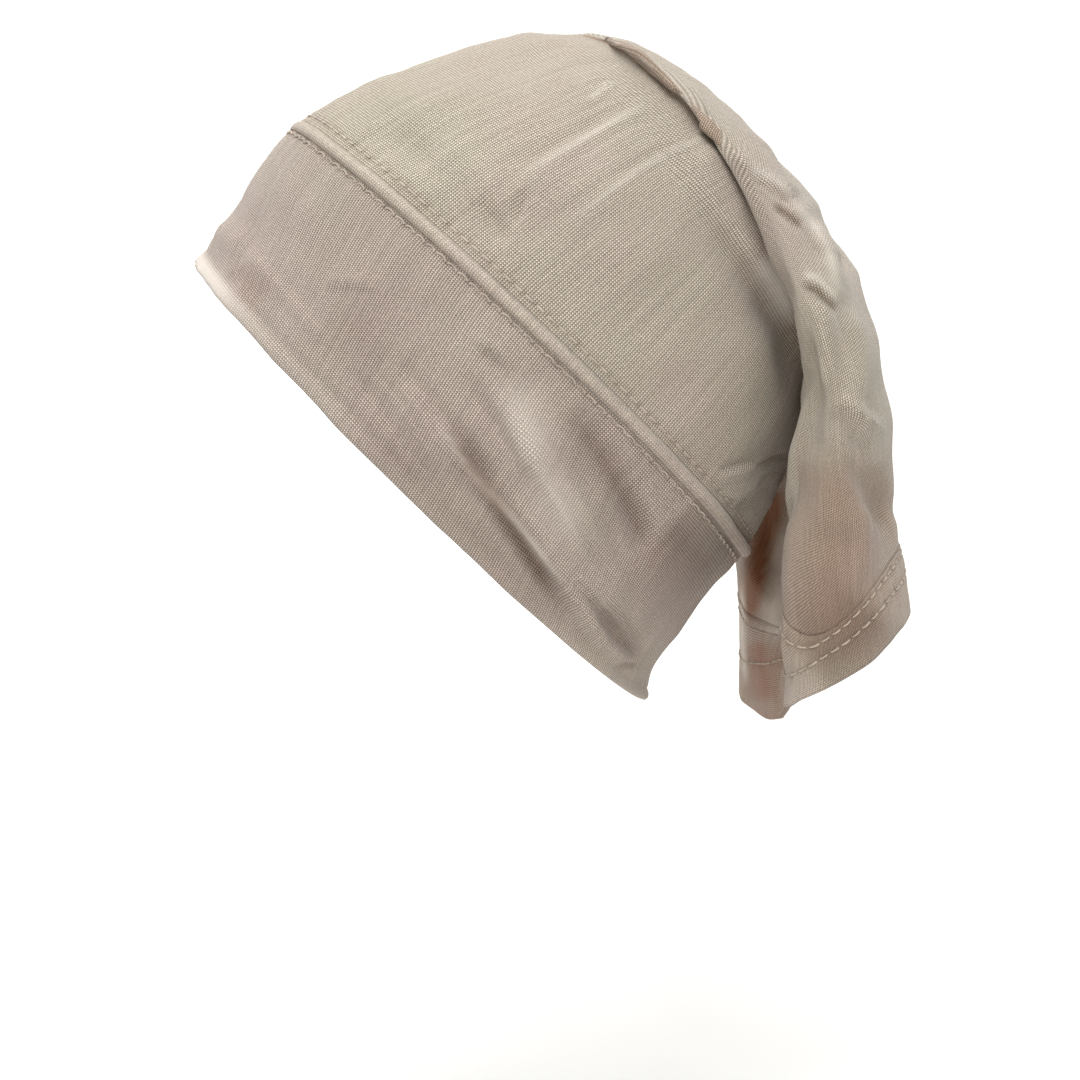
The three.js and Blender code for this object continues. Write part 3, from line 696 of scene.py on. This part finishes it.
def tints(grid, pits):
    """How much painted warm shade, painted highlight and painted dull shade the cloth has at each point; the
    dull also holds the band's greyish patches.
    """
    points, stations, angles = grid["points"], grid["stations"], grid["angles"]
    # dull starts as painted shade in the stitches' needle holes
    levels = {"warm": np.zeros(stations.shape), "pale": np.zeros(stations.shape), "dull": pits * 0.4}
    for part, path, width, kind, strength, far in marks(TINTS):
        share, fade, level = mark_shares(points, stations, angles, part, path, width, far)
        tint = np.minimum(strength * (1 - share) ** 1.3 * fade, 1) * level
        levels[kind] = np.maximum(levels[kind], tint)
    # painted warm shade along the crease between crown and lip
    crease = bell(stations, CREASE_STATION, CREASE_SHADE_SPREAD) * up_and_down(from_top(angles), *CREASE_OPEN)
    levels["warm"] = np.maximum(levels["warm"], 0.7 * crease)
    # painted warm shade on the tail's underside
    underside_shade = smoothstep(from_top(angles), 140, 175) * smoothstep(stations, 7, 8.5)
    levels["warm"] = np.maximum(levels["warm"], 0.5 * underside_shade)
    # painted highlight along the rolled front edge, strongest on the curl over the forehead
    rim = (1 - smoothstep(grid["lengths"], ROLL_WIDTH * 0.6, ROLL_WIDTH * 1.4))[:, None]
    curl = 1 - smoothstep(from_top(angles), CURL_DEGREES * 0.5, CURL_DEGREES * 1.2)
    levels["pale"] = np.maximum(levels["pale"], rim * (0.05 + 0.7 * curl))
    return np.stack([levels["warm"], levels["pale"], levels["dull"]], -1)


def band_lift(stations, angles):
    """Rolled rim along the front edge, and the edge's curl over the forehead."""
    lengths = np.interp(stations, SIDE_STATIONS, SIDE_LENGTHS)
    roll = np.sin(np.pi * np.clip(lengths / ROLL_WIDTH, 0, 1) ** 0.8) ** 0.7 * ROLL_RISE
    behind = bell(lengths, 1.25 * ROLL_WIDTH, 0.3 * ROLL_WIDTH) * -0.4 * MM
    curl = 1 - smoothstep(from_top(angles), 0.25 * CURL_DEGREES, CURL_DEGREES)
    ripple = 1 + 0.35 * np.sin(angles * 23) + 0.25 * np.sin(angles * 57 + 1)
    edge = (1 - np.clip(lengths / CURL_WIDTH, 0, 1)) ** 2 * CURL_LIFT
    return roll * (1 - 0.6 * curl) + behind + curl * edge * ripple


def seam_lift(stations, angles):
    """The seam's round ridge."""
    lengths = np.interp(stations, SIDE_STATIONS, SIDE_LENGTHS)
    share = np.clip((lengths - lengths.min()) / (lengths.max() - lengths.min()), 0, 1)
    flatter = 1 - 0.75 * (1 - smoothstep(from_top(angles), 10, 44))
    return np.sin(np.pi * share) ** 0.6 * SEAM_RISE * flatter


def hem_lift(stations, angles):
    """The folded hem lies a little over the single cloth."""
    return np.full(angles.shape, HEM_STEP)


def linear(hex_colour):
    """sRGB hex to Blender's linear RGBA."""
    channels = [int(hex_colour[index:index + 2], 16) / 255 for index in (1, 3, 5)]
    turned = [c / 12.92 if c <= 0.04045 else ((c + 0.055) / 1.055) ** 2.4 for c in channels]
    return (*turned, 1)


def add_node(tree, kind, settings=None, values=None, links=None):
    """One node with its settings, its input values and its links from other sockets."""
    node = tree.nodes.new(kind)
    for name, value in (settings or {}).items():
        setattr(node, name, value)
    for name, value in (values or {}).items():
        node.inputs[name].default_value = value
    for name, socket in (links or {}).items():
        tree.links.new(socket, node.inputs[name])
    return node


def new_material(name):
    """A material without nodes yet, but for the object's own coordinates."""
    material = bpy.data.materials.new(name)
    material.use_nodes = True
    tree = material.node_tree
    tree.nodes.clear()
    return material, tree, add_node(tree, "ShaderNodeTexCoord").outputs["Object"]


def finish_material(tree, values, links):
    shader = add_node(tree, "ShaderNodeBsdfPrincipled", None, values, links)
    add_node(tree, "ShaderNodeOutputMaterial", links={"Surface": shader.outputs["BSDF"]})


def bump(tree, strength, distance, links):
    """A bump's normal, its distance in metres."""
    values = {"Strength": strength, "Distance": distance}
    return add_node(tree, "ShaderNodeBump", None, values, links).outputs["Normal"]


def calc(tree, operation, *values):
    """A Math node on numbers and sockets."""
    numbers = {index: value for index, value in enumerate(values) if isinstance(value, (int, float))}
    sockets = {index: value for index, value in enumerate(values) if index not in numbers}
    return add_node(tree, "ShaderNodeMath", {"operation": operation}, numbers, sockets).outputs[0]


def times(tree, first, second):
    return calc(tree, "MULTIPLY", first, second)


def mix(tree, share, first, second, blend="MIX"):
    """Two colours mixed by a share; each input is a socket or a value."""
    node = add_node(tree, "ShaderNodeMix", {"data_type": "RGBA", "blend_type": blend})
    for socket, value in zip((node.inputs[0], node.inputs[6], node.inputs[7]), (share, first, second)):
        if isinstance(value, bpy.types.NodeSocket):
            tree.links.new(value, socket)
        else:
            socket.default_value = value
    return node.outputs[2]


def spread(tree, socket, low, high, to_low=0.0, to_high=1.0):
    """A value's part between two bounds turned to another range."""
    values = {"From Min": low, "From Max": high, "To Min": to_low, "To Max": to_high}
    return add_node(tree, "ShaderNodeMapRange", None, values, {"Value": socket}).outputs["Result"]


def knit_nodes(tree):
    """Ribs, grooves and courses of a single jersey, from the cloth's own run round and along the tube."""
    run = add_node(tree, "ShaderNodeUVMap", {"uv_map": "cloth"}).outputs["UV"]
    parts = add_node(tree, "ShaderNodeSeparateXYZ", links={"Vector": run})
    wale = times(tree, parts.outputs["X"], float(WALES))
    course = times(tree, parts.outputs["Y"], 1000 / COURSE)
    zigzag = calc(tree, "PINGPONG", wale, 0.5)
    wave = calc(tree, "SINE", times(tree, wale, math.pi))
    rib = calc(tree, "POWER", calc(tree, "ABSOLUTE", wave), 0.7)
    slanted = calc(tree, "ADD", course, times(tree, zigzag, 1.4))
    loop = calc(tree, "SINE", times(tree, slanted, 2 * math.pi))
    height = times(tree, rib, calc(tree, "ADD", times(tree, loop, 0.42), 0.58))
    streak = {"X": times(tree, wale, 0.45), "Y": times(tree, course, 0.02)}
    streak_place = add_node(tree, "ShaderNodeCombineXYZ", links=streak).outputs[0]
    stitch_place = add_node(tree, "ShaderNodeCombineXYZ", links={"X": wale, "Y": course}).outputs[0]
    return height, streak_place, stitch_place


def noise(tree, scale, vector, detail=2.0):
    return add_node(tree, "ShaderNodeTexNoise", None, {"Scale": scale, "Detail": detail},
                    {"Vector": vector}).outputs["Fac"]


def jersey(name, colours, rib_contrast):
    """Single jersey of cotton and viscose, circular knitted and dyed in the piece. Fine ribs run along
    the tube, the yarn's uneven thickness streaks it lengthways, and wear leaves rosy and greenish
    clouds a few centimetres wide. It is matt, with a soft fibre sheen at grazing angles."""
    material, tree, place = new_material(name)
    knit, streak_place, stitch_place = knit_nodes(tree)
    # clouds of colour
    clouds = spread(tree, noise(tree, 24, place), 0.38, 0.62)
    shifted = add_node(tree, "ShaderNodeVectorMath", {"operation": "ADD"}, {1: CLOUD_SHIFT}, {0: place})
    green = spread(tree, noise(tree, 15, shifted.outputs[0]), 0.5, 0.7, 0.0, 0.6)
    colour = mix(tree, clouds, linear(colours["base"]), linear(colours["rosy"]))
    colour = mix(tree, green, colour, linear(colours["green"]))
    # yarn streaks along the ribs, and single stitches a little lighter or darker
    streaks = spread(tree, noise(tree, 1.0, streak_place, 1.0), 0.3, 0.7, 0.93, 1.06)
    grains = spread(tree, noise(tree, 0.9, stitch_place, 0.0), 0.25, 0.75, 0.88, 1.12)
    shade = times(tree, streaks, grains)
    # ribs lighter and grooves darker: painted highlight and painted shade of the knit's relief
    grooves = spread(tree, knit, 0.1, 0.85, 1.0 - rib_contrast, 1.14)
    shade = times(tree, shade, grooves)
    tone = add_node(tree, "ShaderNodeCombineColor", links={"Red": shade, "Green": shade, "Blue": shade})
    colour = mix(tree, 1.0, colour, tone.outputs["Color"], "MULTIPLY")
    # painted shade and highlight: warm is painted shade in deep folds, under the lip and inside, pale is
    # painted highlight on ridges and edges, dull is painted shade in valleys, low parts and needle holes, and
    # the band's greyish patches
    levels = add_node(tree, "ShaderNodeAttribute", {"attribute_name": "tints"}).outputs["Vector"]
    level = add_node(tree, "ShaderNodeSeparateXYZ", links={"Vector": levels})
    colour = mix(tree, level.outputs["X"], colour, linear(colours["warm"]), "MULTIPLY")
    colour = mix(tree, level.outputs["Y"], colour, linear(colours["pale"]))
    colour = mix(tree, level.outputs["Z"], colour, linear(colours["dull"]), "MULTIPLY")
    # relief: knit ribs, then small crumples
    soft = bump(tree, 0.5, 0.6 * MM, {"Height": noise(tree, 160, place, 1.0)})
    ribs = bump(tree, 0.7, 0.22 * MM, {"Height": knit, "Normal": soft})
    roughness = spread(tree, streaks, 0.93, 1.06, 0.94, 0.82)
    finish_material(tree, {"Sheen Weight": 0.25, "Sheen Roughness": 0.45, "Specular IOR Level": 0.25},
                    {"Base Color": colour, "Roughness": roughness, "Normal": ribs})
    return material


def thread(name, hex_colour):
    """Spun polyester sewing thread, two plies twisted: smoother and lighter than the knit."""
    material, tree, place = new_material(name)
    tone = spread(tree, noise(tree, 300, place), 0.3, 0.7)
    darker = [channel * 0.7 for channel in linear(hex_colour)[:3]] + [1]
    colour = mix(tree, tone, darker, linear(hex_colour))
    ply = bump(tree, 0.4, 0.1 * MM, {"Height": noise(tree, 2200, place)})
    finish_material(tree, {"Roughness": 0.6, "Sheen Weight": 0.1}, {"Base Color": colour, "Normal": ply})
    return material


def backdrop_paper():
    """Matt studio paper, very slightly clouded."""
    material, tree, place = new_material("backdrop_paper")
    colour = mix(tree, noise(tree, 2, place), linear("#F4F4F4"), linear("#F8F8F7"))
    finish_material(tree, {"Roughness": 0.95}, {"Base Color": colour})
    return material


def quads_of(rows, columns, base, flip):
    """Faces of a grid of closed rings, and the same faces' corners in a grid one column wider."""
    row, column = np.meshgrid(np.arange(rows - 1), np.arange(columns), indexing="ij")
    corners = [(row, column), (row, column + 1), (row + 1, column + 1), (row + 1, column)]
    if flip:
        corners = corners[::-1]
    faces = np.stack([base + r * columns + c % columns for r, c in corners], -1).reshape(-1, 4)
    wide = np.stack([r * (columns + 1) + c for r, c in corners], -1).reshape(-1, 4)
    return faces, wide


def shell_mesh(name, grid, wall):
    """Closed wall: the grid outside, every second row and column of it inside, and a rim at each end."""
    outer = grid["points"]
    rows, columns = outer.shape[:2]
    inner = (outer - grid["normals"] * wall)[::2, ::2]
    inner_rows, inner_columns = inner.shape[:2]
    base = rows * columns
    turns = (np.clip(grid["stations"][:, :1], *TAIL_TURN_SECTIONS) - TAIL_TURN_SECTIONS[0]) * TAIL_TURN
    runs = np.stack([grid["shares"] + turns, grid["runs"]], -1)
    outer_faces, outer_wide = quads_of(rows, columns, 0, False)
    inner_faces, inner_wide = quads_of(inner_rows, inner_columns, base, True)
    inner_runs = runs[::2, ::2]
    faces = outer_faces.tolist() + inner_faces.tolist()
    corner_runs = [*runs.reshape(-1, 2)[outer_wide.ravel()], *inner_runs.reshape(-1, 2)[inner_wide.ravel()]]
    for row, inner_row, flip in ((0, 0, True), (rows - 1, inner_rows - 1, False)):
        outside = [(row * columns + c % columns, runs[row, c]) for c in range(columns + 1)]
        inside = [(base + inner_row * inner_columns + c % inner_columns, inner_runs[inner_row, c])
                  for c in range(inner_columns + 1)]
        for index in range(inner_columns):
            first, second, third = outside[2 * index:2 * index + 3]
            near, far = inside[index:index + 2]
            for corners in ((first, second, near), (second, far, near), (second, third, far)):
                corners = corners[::-1] if flip else corners
                faces.append([vertex for vertex, run in corners])
                corner_runs += [run for vertex, run in corners]
    mesh = bpy.data.meshes.new(name)
    mesh.from_pydata(np.vstack([outer.reshape(-1, 3), inner.reshape(-1, 3)]).tolist(), [], faces)
    layer = mesh.uv_layers.new(name="cloth")
    layer.data.foreach_set("uv", np.array(corner_runs).ravel())
    # the whole inside gets at least some painted warm shade
    inside_tints = grid["tints"][::2, ::2].copy()
    inside_tints[..., 0] = np.maximum(inside_tints[..., 0], INSIDE_SHADE)
    levels = np.vstack([grid["tints"].reshape(-1, 3), inside_tints.reshape(-1, 3)])
    attribute = mesh.attributes.new("tints", "FLOAT_VECTOR", "POINT")
    attribute.data.foreach_set("vector", levels.ravel())
    return mesh


def add_piece(name, mesh, material, nodes):
    piece = bpy.data.objects.new(name, mesh)
    bpy.context.collection.objects.link(piece)
    if material.name not in mesh.materials:
        mesh.materials.append(material)
    mesh.shade_smooth()
    if nodes:
        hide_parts(*nodes)
    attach(piece, "root")
    return piece


def stitch_line(length, lift, pitch, raise_by):
    """Line of a stitch row as a mesh of edges, with the cloth's outward and forward directions."""
    rows = np.interp([length - 0.6 * MM, length, length + 0.6 * MM], SIDE_LENGTHS, SIDE_STATIONS)
    grid = surface(rows, lift)
    line = grid["points"][1]
    outward = grid["normals"][1]
    closed = np.vstack([line, line[:1]])
    steps = np.linalg.norm(np.diff(closed, axis=0), axis=1)
    along = np.concatenate([[0], np.cumsum(steps)])
    count = round(along[-1] / pitch)
    places = np.linspace(0, along[-1] * (1 - 1 / count), 4 * count)
    outwards = np.vstack([outward, outward[:1]])
    points = np.stack([np.interp(places, along, closed[:, axis]) for axis in range(3)], -1)
    out = np.stack([np.interp(places, along, outwards[:, axis]) for axis in range(3)], -1)
    points += out * raise_by
    forward = np.gradient(points, axis=0)
    mesh = bpy.data.meshes.new("stitch_line")
    mesh.from_pydata(points.tolist(), [(index, index + 1) for index in range(len(points) - 1)], [])
    for name, values in (("outward", out), ("forward", forward)):
        attribute = mesh.attributes.new(name, "FLOAT_VECTOR", "POINT")
        attribute.data.foreach_set("vector", values.ravel())
    return mesh, count


def named_vector(tree, name):
    return add_node(tree, "GeometryNodeInputNamedAttribute", {"data_type": "FLOAT_VECTOR"},
                    {"Name": name}).outputs["Attribute"]


def stitch_nodes():
    """Geometry Nodes: a bowed thread at even steps along a line, lying on the cloth."""
    tree = bpy.data.node_groups.new("stitches", "GeometryNodeTree")
    sockets = {}
    tree.interface.new_socket("Geometry", in_out="INPUT", socket_type="NodeSocketGeometry")
    for name, kind in (("Count", "Int"), ("Length", "Float"), ("Radius", "Float"), ("Bow", "Float"),
                       ("Rise", "Float"), ("Material", "Material")):
        socket = tree.interface.new_socket(name, in_out="INPUT", socket_type="NodeSocket" + kind)
        sockets[name] = socket.identifier
    tree.interface.new_socket("Geometry", in_out="OUTPUT", socket_type="NodeSocketGeometry")
    given = add_node(tree, "NodeGroupInput").outputs
    curve = add_node(tree, "GeometryNodeMeshToCurve", links={"Mesh": given["Geometry"]})
    stops = add_node(tree, "GeometryNodeResampleCurve", {"mode": "COUNT"}, None,
                     {"Curve": curve.outputs["Curve"], "Count": given["Count"]})
    half = times(tree, given["Length"], 0.5)
    start = add_node(tree, "ShaderNodeCombineXYZ", links={"X": times(tree, half, -1.0)})
    end = add_node(tree, "ShaderNodeCombineXYZ", links={"X": half})
    middle = add_node(tree, "ShaderNodeCombineXYZ", links={"Y": given["Bow"], "Z": given["Rise"]})
    arc = add_node(tree, "GeometryNodeCurveQuadraticBezier", None, {"Resolution": 6}, {
        "Start": start.outputs[0], "Middle": middle.outputs[0], "End": end.outputs[0]})
    section = add_node(tree, "GeometryNodeCurvePrimitiveCircle", None, {"Resolution": 6},
                       {"Radius": given["Radius"]})
    strand = add_node(tree, "GeometryNodeCurveToMesh", None, {"Fill Caps": True}, {
        "Curve": arc.outputs["Curve"], "Profile Curve": section.outputs["Curve"]})
    turn = add_node(tree, "FunctionNodeAxesToRotation", {"primary_axis": "Z", "secondary_axis": "X"}, None, {
        "Primary Axis": named_vector(tree, "outward"), "Secondary Axis": named_vector(tree, "forward")})
    size = add_node(tree, "FunctionNodeRandomValue", {"data_type": "FLOAT"})
    size.inputs["Seed"].default_value = 5
    size.inputs[2].default_value = 0.86
    size.inputs[3].default_value = 1.08
    placed = add_node(tree, "GeometryNodeInstanceOnPoints", None, None, {
        "Points": stops.outputs["Curve"], "Instance": strand.outputs["Mesh"],
        "Rotation": turn.outputs["Rotation"], "Scale": size.outputs[1]})
    real = add_node(tree, "GeometryNodeRealizeInstances", links={"Geometry": placed.outputs["Instances"]})
    smooth = add_node(tree, "GeometryNodeSetShadeSmooth", links={"Geometry": real.outputs["Geometry"]})
    finished = add_node(tree, "GeometryNodeSetMaterial", links={
        "Geometry": smooth.outputs["Geometry"], "Material": given["Material"]})
    add_node(tree, "NodeGroupOutput", links={"Geometry": finished.outputs["Geometry"]})
    return tree, sockets


def sew(name, row, sizes, group, material):
    """One stitch row, as a mesh of its own. row is its length, cloth lift, pitch and sink in the cloth."""
    line, count = stitch_line(*row)
    tree, sockets = group
    carrier = bpy.data.objects.new(name + "_line", line)
    bpy.context.collection.objects.link(carrier)
    modifier = carrier.modifiers.new("stitches", "NODES")
    modifier.node_group = tree
    modifier[sockets["Count"]] = count
    for key, value in sizes.items():
        modifier[sockets[key]] = value
    modifier[sockets["Material"]] = material
    evaluated = carrier.evaluated_get(bpy.context.evaluated_depsgraph_get())
    mesh = bpy.data.meshes.new_from_object(evaluated)
    mesh.name = name
    bpy.data.objects.remove(carrier)
    return add_piece(name, mesh, material, [])


def make_camera():
    data = bpy.data.cameras.new("photo_camera")
    data.sensor_width = 36
    data.lens = 36 * FOCAL_PIXELS / PHOTO_SIZE
    camera = bpy.data.objects.new("photo_camera", data)
    camera.location = CAMERA_PLACE
    camera.rotation_euler = (math.pi / 2 - CAMERA_PITCH, 0, 0)
    bpy.context.collection.objects.link(camera)
    bpy.context.scene.camera = camera


def area_light(name, place, target, size, power, colour):
    data = bpy.data.lights.new(name, "AREA")
    data.shape = "DISK"
    data.size = size
    data.energy = power
    data.color = colour
    light = bpy.data.objects.new(name, data)
    light.location = place
    light.rotation_euler = (Vector(target) - Vector(place)).to_track_quat("-Z", "Y").to_euler()
    bpy.context.collection.objects.link(light)


def make_backdrop():
    """Pale floor that curves up into a wall behind."""
    profile = [(FLOOR_FRONT, FLOOR), (FLOOR_BACK, FLOOR)]
    for step in range(1, BEND_STEPS + 1):
        turn = step / BEND_STEPS * math.pi / 2
        profile.append((FLOOR_BACK + FLOOR_BEND * math.sin(turn), FLOOR + FLOOR_BEND * (1 - math.cos(turn))))
    profile.append((FLOOR_BACK + FLOOR_BEND, WALL_TOP))
    vertices = [(side * FLOOR_HALF, y, z) for y, z in profile for side in (-1, 1)]
    faces = [(2 * i, 2 * i + 1, 2 * i + 3, 2 * i + 2) for i in range(len(profile) - 1)]
    mesh = bpy.data.meshes.new("backdrop")
    mesh.from_pydata(vertices, [], faces)
    mesh.shade_smooth()
    mesh.materials.append(backdrop_paper())
    backdrop = bpy.data.objects.new("backdrop", mesh)
    bpy.context.collection.objects.link(backdrop)


def make_light():
    """Wide soft light from above, a weaker warm one all round, and one for the backdrop alone."""
    area_light("overhead", (-0.1, -0.82, 0.82), (0.02, 0.0, -0.1), 1.0, 14.2, (0.94, 0.975, 1.0))
    area_light("backdrop_light", (0.0, 0.45, 1.4), (0.0, 2.0, 0.1), 1.6, 30, (1.0, 1.0, 1.0))
    world = bpy.data.worlds.new("studio")
    world.use_nodes = True
    background = world.node_tree.nodes["Background"]
    background.inputs["Color"].default_value = (1.0, 0.94, 0.86, 1)
    background.inputs["Strength"].default_value = 0.44
    bpy.context.scene.world = world
    bpy.context.scene.view_settings.view_transform = "Standard"


def cloth_piece(name, grid, wall, nodes, slot, colours, rib_contrast):
    return add_piece(name, shell_mesh(name, grid, wall), jersey(slot, colours, rib_contrast), nodes)


make_camera()
seam_front = BAND_WIDTH + JOIN_GAP
seam_back = seam_front + SEAM_WIDTH
crown_start = seam_back + JOIN_GAP
front_row = BAND_WIDTH - SEAM_ROW_FRONT
back_row = crown_start + SEAM_ROW_BACK
upper_row = SIDE_LENGTH - HEM_ROW_UPPER
lower_row = SIDE_LENGTH - HEM_ROW_LOWER
crown = cloth_grid(seam_back - TUCK, SIDE_LENGTH - HEM_WIDTH + TUCK, [(back_row, SEAM_PITCH)])
band = cloth_grid(0, seam_front + TUCK, [(front_row, SEAM_PITCH)], band_lift)
seam = cloth_grid(seam_front, seam_back, (), seam_lift)
hem = cloth_grid(SIDE_LENGTH - HEM_WIDTH, SIDE_LENGTH, [(upper_row, HEM_PITCH), (lower_row, HEM_PITCH)],
                 hem_lift)
crown_piece = cloth_piece("crown_cloth", crown, CROWN_WALL, ["crown", "tail"], "crown_jersey",
                          CROWN_COLOURS, 0.8)
band_piece = cloth_piece("band_cloth", band, BAND_WALL, ["front_band"], "band_jersey", BAND_COLOURS, 0.8)
seam_piece = cloth_piece("seam_roll", seam, CROWN_WALL, ["band_seam"], "seam_jersey", SEAM_COLOURS, 0.55)
hem_piece = cloth_piece("hem_cloth", hem, HEM_WALL, ["tail_hem"], "hem_jersey", CROWN_COLOURS, 0.75)

group = stitch_nodes()
seam_thread = thread("seam_thread", "#C9B9AB")
hem_thread = thread("hem_thread", "#BCAC9B")
front_sizes = {"Length": 3.9 * MM, "Radius": THREAD * 0.8, "Bow": 1.3 * MM, "Rise": 0.7 * MM}
back_sizes = {"Length": 2.9 * MM, "Radius": THREAD * 0.8, "Bow": 0.0, "Rise": 0.5 * MM}
hem_sizes = {"Length": 3.1 * MM, "Radius": THREAD * 0.85, "Bow": 0.2 * MM, "Rise": 0.7 * MM}
front_stitches = sew("seam_stitches_front", (front_row, band_lift, SEAM_PITCH, -0.2 * MM), front_sizes, group,
                     seam_thread)
back_stitches = sew("seam_stitches_back", (back_row, None, SEAM_PITCH, -0.25 * MM), back_sizes, group,
                    seam_thread)
upper_stitches = sew("hem_stitches_upper", (upper_row, hem_lift, HEM_PITCH, -0.25 * MM), hem_sizes, group,
                     hem_thread)
lower_stitches = sew("hem_stitches_lower", (lower_row, hem_lift, HEM_PITCH, -0.25 * MM), hem_sizes, group,
                     hem_thread)

make_backdrop()
make_light()
